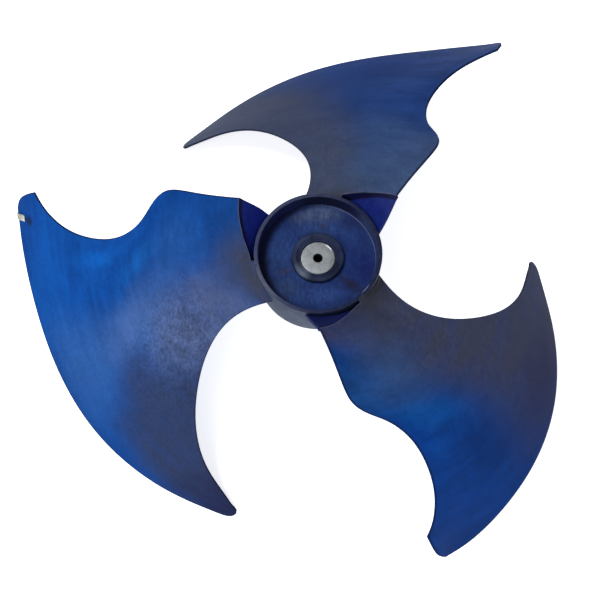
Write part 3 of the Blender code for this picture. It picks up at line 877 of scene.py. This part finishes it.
right_plastic = blade_plastic(
    "blade_plastic_right", 2 * PITCH, paint(6, 48, 112), paint(9, 56, 126),
    films=[
        ((3, 56, 130), (1.0, 0.75), (0.35, 0.45), 0.2, 0.95),
        ((9, 74, 148), (0.74, 0.5), (0.3, 0.15), 0.05, 0.95),
        ((4, 66, 144), (0.89, 0.65), (0.13, 0.05), 0.0, 0.8),
        ((22, 70, 130), (0.9, 0.32), (0.4, 0.2), 0.05, 0.8),
        ((46, 72, 116), (0.56, 0.31), (0.44, 0.25), 0.05, 0.95),
        ((54, 62, 90), (0.62, 0.14), (0.42, 0.19), 0.1, 0.95),
        ((57, 60, 79), (-0.05, 0.5), (0.75, EVERYWHERE), 0.35, 1.0),
        ((38, 42, 76), (0.32, 0.9), (0.3, 0.3), 0.1, 0.75),
        ((49, 53, 80), (0.95, 0.02), (0.55, 0.18), 0.25, 1.0),
        ((52, 52, 62), (0.42, 0.17), (0.22, 0.1), 0.1, 0.6),
        ((47, 48, 56), (0.2, 0.0), (0.75, 0.2), 0.3, 1.0),
    ],
    grit=((0.2, 0.2), (0.5, 0.3), 0.06), arc_line=paint(84, 104, 132), arc_strength=0.6)
blade_plastics = (top_plastic, left_plastic, right_plastic)
print([plastic.name for plastic in blade_plastics])

# %% [markdown]
# ## The hub's plastics and metals
#
# The pockets are out of the air stream, so they stay a clean deep blue, with painted shade along
# their walls, in their corners and where the web meets the drum. Inside, the cup is dark navy,
# painted lighter where the key light reaches its wall and darker at the top; its rim is rubbed and
# painted lighter on the left, where the light falls, and its outer wall is dull with dust. The floor
# is blue with grey dust at the top and faint bands over three of the ribs. The bush is light cast
# metal with a turned face, a painted glint and a bore painted dark as shade, and the clip is
# plated steel.

# %% Finish of the pockets
def surfaced(finish, spot, colour):
    """The fine grain and the sheen that all moulded hub pieces share."""
    fine = finish.noise(spot, 260, 5, 0.65)
    grain = finish.noise(spot, 900, 2, 0.5)
    colour = finish.mottled(colour, fine, 0.14, 0.3, 0.7)
    normal = finish.bump(fine, 0.06 * MM, 0.3, finish.bump(grain, 0.03 * MM, 0.5))
    return finish.finish(colour, finish.ramp(fine, 0.3, 0.75, 0.44, 0.62), normal, specular=0.07)


def pocket_plastic():
    finish = Finish("pocket_plastic")
    spot = finish.place()
    x, y, _ = finish.coordinates(spot)
    radius, _ = finish.polar(spot)
    clouds = finish.noise(spot, 45, 5, 0.6, 0.3)
    broken = finish.ramp(finish.noise(spot, 120, 5, 0.65), 0.3, 0.65, 0.65, 1.0)
    colour = finish.mix(finish.ramp(clouds, 0.35, 0.66), paint(15, 25, 92), paint(23, 39, 104))
    colour = finish.mix(finish.ramp(radius, 53 * MM, 64 * MM, 0.0, 0.3), colour, paint(44, 58, 108))
    # painted shade where the web meets the drum
    colour = finish.mix(finish.ramp(radius, 48.5 * MM, 51 * MM, 0.5, 0.0), colour, paint(14, 18, 66))

    # the left pocket is bluer and the lower one dim; painted shade lies along the walls and in the corners,
    # fainter in the lower pocket
    colour = finish.mix(finish.ramp(x, -30 * MM, -10 * MM, 0.6, 0.0), colour, paint(18, 31, 118))
    colour = finish.mix(finish.ramp(y, -30 * MM, -10 * MM, 0.6, 0.0), colour, paint(17, 22, 54))
    shade_share = finish.times(finish.ramp(y, -30 * MM, -10 * MM, 0.35, 1.0), broken)
    for mark_name, reach, strength in (("wall", 1.5, 0.95), ("corner", 2.2, 0.5)):
        painted_shade = finish.times(finish.ramp(finish.mark(mark_name), 0.3, reach, strength, 0.0), shade_share)
        colour = finish.mix(painted_shade, colour, paint(18, 16, 44))
    return surfaced(finish, spot, colour)


pocket_finish = pocket_plastic()
print("made", pocket_finish.name)

# %% Finish of the cup
LIT_SIDE, SHADED_UPPER_SIDE, LEFT_SIDE = (0.94, -0.34), (0.2, 0.98), (-0.966, 0.259)     # in the plan


def cup_plastic():
    finish = Finish("cup_plastic")
    spot = finish.place()
    x, y, height = finish.coordinates(spot)
    radius, angle = finish.polar(spot)
    round_place = finish.vector(radius, angle)

    def towards(side):
        return finish.maths("MULTIPLY_ADD", x, side[0], finish.times(y, side[1]))

    # the inner wall, painted lighter where the key light reaches it and darker at the top as painted shade,
    # then the dull outer wall
    clouds = finish.noise(spot, 60, 6, 0.62, 0.3)
    lit = finish.ramp(towards(LIT_SIDE), 8 * MM, 24 * MM)
    colour = finish.mix(lit, paint(30, 37, 80), paint(50, 60, 96))
    dim = finish.ramp(towards(SHADED_UPPER_SIDE), 34 * MM, 44 * MM, 0.0, 0.85)
    colour = finish.mottled(finish.mix(dim, colour, paint(20, 22, 44)), clouds, 0.14, 0.35, 0.66)
    dull = finish.mix(finish.ramp(clouds, 0.35, 0.66), paint(48, 58, 80), paint(62, 74, 96))
    colour = finish.mix(finish.ramp(radius, 47.0 * MM, 47.8 * MM), colour, dull)

    # the rim, worn, and painted lighter on the left where the key light falls and darker on the right, with
    # one painted glint
    rim_top = RIM_TOP * MM
    on_rim = finish.ramp(height, rim_top - 0.9 * MM, rim_top - 0.3 * MM)
    broken = finish.ramp(finish.noise(spot, 150, 4, 0.7), 0.3, 0.6, 0.75, 1.0)
    left = finish.ramp(towards(LEFT_SIDE), -28 * MM, 28 * MM)
    rubbed_and_lit = finish.mix(left, paint(22, 28, 54), paint(54, 60, 84))
    most = finish.oval(round_place, (47 * MM, -2.62), (8 * MM, 0.5))
    rubbed_and_lit = finish.mix(most, rubbed_and_lit, paint(74, 80, 98))
    colour = finish.mix(finish.times(on_rim, broken), colour, rubbed_and_lit)
    painted_glint = finish.oval(round_place, (45.6 * MM, -0.7), (0.5 * MM, 0.13))
    colour = finish.mix(finish.times(painted_glint, on_rim, 0.7), colour, paint(120, 128, 146))
    return surfaced(finish, spot, colour)


hub_plastic = cup_plastic()
print("made", hub_plastic.name)

# %% Finish of the floor
SHADOW_MIDDLE = (6.4 * MM, 0.5 * MM, 0)     # of the light that falls into the cup
FLOOR_EDGE = 44.3 * MM
FLOOR_STAINS = (
    ((11, 24, 78), (35, -7), (19, 27), 0.1, 0.95),
    ((29, 52, 98), (-33, 2), (18, 26), 0.1, 0.8),
    ((40, 57, 90), (-25, -25), (17, 14), 0.1, 0.8),
    ((38, 62, 116), (2, -31), (30, 12), 0.1, 0.8),
    ((40, 62, 110), (4, 24), (30, 9), 0.1, 0.8),
    ((64, 76, 104), (2, 37.5), (27, 12), 0.1, 1.0),
    ((26, 34, 74), (29, 30), (13, 10), 0.1, 0.8),
    ((56, 64, 86), (-14, 33), (14, 8), 0.1, 0.6),
    ((52, 48, 56), (4, 27), (5, 4), 0.1, 0.7),
)
RIB_BANDS = (
    ((26, 27, 52), (32, -0.70), (19, 0.19), 0.1, 0.95),
    ((42, 42, 62), (28, -2.76), (11, 0.13), 0.1, 0.7),
    ((32, 36, 62), (24, 1.40), (8, 0.1), 0.1, 0.35),
)


def floor_plastic():
    """Stains have their places in mm, the bands over the ribs in mm and radians."""
    finish = Finish("floor_plastic")
    spot = finish.place()
    radius, angle = finish.polar(spot)
    clouds = finish.noise(spot, 42, 6, 0.6, 0.2)
    ragged = finish.ramp(finish.noise(spot, 150, 8, 0.75, 0.3), 0.34, 0.6, 0.42, 1.0)
    colour = finish.mix(finish.ramp(clouds, 0.35, 0.66), paint(19, 37, 84), paint(27, 49, 98))
    colour = finish.covered(colour, spot, FLOOR_STAINS, ragged, units=(MM, MM))
    colour = finish.covered(colour, finish.vector(radius, angle), RIB_BANDS, ragged, units=(MM, 1))

    # the crescent of shadow under the rim, and the pale line in the corner at the upper right
    moved = finish.node("ShaderNodeVectorMath", spot, SHADOW_MIDDLE, operation="SUBTRACT")
    from_middle, _ = finish.polar(moved)
    colour = finish.mix(finish.ramp(from_middle, 42.2 * MM, 48.4 * MM, 0.0, 0.9), colour, paint(12, 15, 42))
    corner_line = finish.times(finish.near(radius, FLOOR_EDGE, 0.1 * MM, 0.45 * MM),
                               finish.near(angle, 0.6, 0.3, 1.2, peak=0.8))
    colour = finish.mix(corner_line, colour, paint(80, 88, 116))

    # scuffs, deeper on the left
    scuffs = finish.noise(finish.place(0.7, (1, 0.4, 1)), 420, 6, 0.75, 0.3)
    depth = finish.ramp(finish.coordinates(spot)[0], 0, 30 * MM, 0.24, 0.12)
    return surfaced(finish, spot, finish.mottled(colour, scuffs, depth))


floor_finish = floor_plastic()
print("made", floor_finish.name)

# %% Finish of the collar
# painted light on the collar's left, with dust at the lower left, and painted shade on its right
COLLAR_LIGHT_SHADE_AND_DUST = (
    ((90, 101, 118), (-11.5, -11), (9.5, 10), 0.15, 0.9),
    ((54, 62, 90), (-11, 11), (10, 9), 0.15, 0.5),
    ((16, 21, 40), (12, -10), (17, 14), 0.15, 0.85),
    ((30, 36, 54), (12, 13), (10, 9), 0.15, 0.5),
)


def collar_plastic():
    finish = Finish("collar_plastic")
    spot = finish.place()
    clouds = finish.noise(spot, 70, 5, 0.6, 0.3)
    ragged = finish.ramp(finish.noise(spot, 190, 5, 0.7), 0.3, 0.62, 0.7, 1.0)
    colour = finish.mix(finish.ramp(clouds, 0.35, 0.66), paint(27, 33, 57), paint(38, 46, 72))
    return surfaced(finish, spot, finish.covered(colour, spot, COLLAR_LIGHT_SHADE_AND_DUST, ragged, units=(MM, MM)))


collar_finish = collar_plastic()
print("made", collar_finish.name)

# %% Finishes of the metal
def bush_metal():
    finish = Finish("bush_metal")
    spot = finish.place()
    radius, angle = finish.polar(spot)
    turned = finish.noise(finish.vector(finish.times(radius, 5200), finish.times(angle, 0.6)), 1, 3)
    cast = finish.noise(spot, 420, 5, 0.7)
    stains = finish.noise(spot, 130, 4, 0.6)
    colour = finish.mix(finish.ramp(stains, 0.4, 0.7), paint(136, 140, 143), paint(116, 121, 125))
    colour = finish.mix(finish.ramp(cast, 0.5, 0.72, 0.0, 0.6), colour, paint(98, 102, 106))
    # a painted glint on the chamfer at the upper right
    glint = finish.times(finish.near(radius, 12.2 * MM, 0.25 * MM, 0.7 * MM),
                         finish.near(angle, 0.8, 0.1, 0.34))
    colour = finish.mix(glint, colour, paint(240, 242, 244))
    # the bore is painted nearly black as shade in the deep hole
    outside_bore = finish.ramp(radius, 3.4 * MM, 3.75 * MM)
    colour = finish.mix(outside_bore, paint(22, 24, 32), colour)
    normal = finish.bump(cast, 0.04 * MM, 0.4, finish.bump(turned, 0.02 * MM, 0.6))
    return finish.finish(colour, finish.ramp(cast, 0.3, 0.7, 0.42, 0.6), normal,
                         metallic=finish.times(outside_bore, 0.6), specular=finish.times(outside_bore, 0.5))


def clip_metal():
    finish = Finish("clip_metal")
    brushed = finish.noise(finish.place(scale=(90, 700, 300)), 1, 3)
    stains = finish.noise(finish.place(), 300, 4, 0.6)
    colour = finish.mix(finish.ramp(stains, 0.4, 0.7), paint(186, 188, 174), paint(146, 146, 132))
    normal = finish.bump(brushed, 0.02 * MM, 0.5)
    return finish.finish(colour, finish.ramp(brushed, 0.3, 0.7, 0.32, 0.5), normal, metallic=0.7)


bush_finish, clip_finish = bush_metal(), clip_metal()
print("made", bush_finish.name, "and", clip_finish.name)

# %% Hand the pieces over to the frame
def hand_over(piece, nodes, material):
    piece.data.materials.clear()
    piece.data.materials.append(material)
    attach(piece, "root")
    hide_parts(*nodes)


for number, (piece, plastic) in enumerate(zip(blades, blade_plastics), start=1):
    hand_over(piece, [f"blade_{number}"], plastic)
for number, piece in enumerate(pockets, start=1):
    hand_over(piece, [f"root_gusset_{number}"], pocket_finish)
hand_over(drum, ["hub_drum"], hub_plastic)
hand_over(floor_web, ["hub_floor"], floor_finish)
hand_over(boss, ["hub_boss"], collar_finish)
hand_over(bush, ["shaft_bush"], bush_finish)
hand_over(clip, ["balance_clip"], clip_finish)
for number, rib in enumerate(ribs, start=1):
    hand_over(rib, [f"rear_rib_{number}"], hub_plastic)

# %% [markdown]
# ## The studio
#
# The wheel rests on its three blade tips on a plain pale table. The key light is a soft panel
# high on the left, so the cup's left side falls in shadow. A wide panel in front of the wheel
# and a pale surround fill the rest. The table glows, as a light table does, so that shadows on
# it stay faint.

# %% Build the table and the lights
TABLE_SIZE = 30     # metres, so that its far edge is hardly seen
TABLE_GLOW, SURROUND_GLOW = 0.7, 0.45


def table_finish():
    finish = Finish("table_paper")
    tone = finish.noise(finish.place(), 3.0, 3)
    colour = finish.mix(tone, (0.9, 0.9, 0.9, 1), (0.93, 0.93, 0.93, 1))
    finish.fill(finish.shader, {"Emission Color": (1, 1, 1, 1), "Emission Strength": TABLE_GLOW})
    return finish.finish(colour, 0.8, specular=0.1)


def soft_panel(name, place, size, power):
    let_go()
    bpy.ops.object.light_add(type="AREA", location=place)
    panel = bpy.context.object
    panel.name = name
    panel.data.shape = "DISK"
    panel.data.size = size
    panel.data.energy = power
    panel.rotation_euler = (-Vector(place)).to_track_quat("-Z", "Y").to_euler()     # towards the hub


low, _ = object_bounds()
let_go()
bpy.ops.mesh.primitive_plane_add(size=TABLE_SIZE, location=(0, 0, low.z))
table = bpy.context.object
table.name = "table"
table.data.materials.append(table_finish())
soft_panel("panel_key", place=(-0.82, 0.22, 1.81), size=0.7, power=26)
soft_panel("panel_fill", place=(-0.6, -1.4, 1.6), size=1.6, power=16)
world = bpy.data.worlds.new("surround")
bpy.context.scene.world = world
world.use_nodes = True
background = world.node_tree.nodes["Background"]
background.inputs["Color"].default_value = (0.93, 0.95, 1.0, 1)
background.inputs["Strength"].default_value = SURROUND_GLOW
bpy.context.scene.view_settings.view_transform = "Standard"
print("table at", round(low.z / MM, 1), "mm")
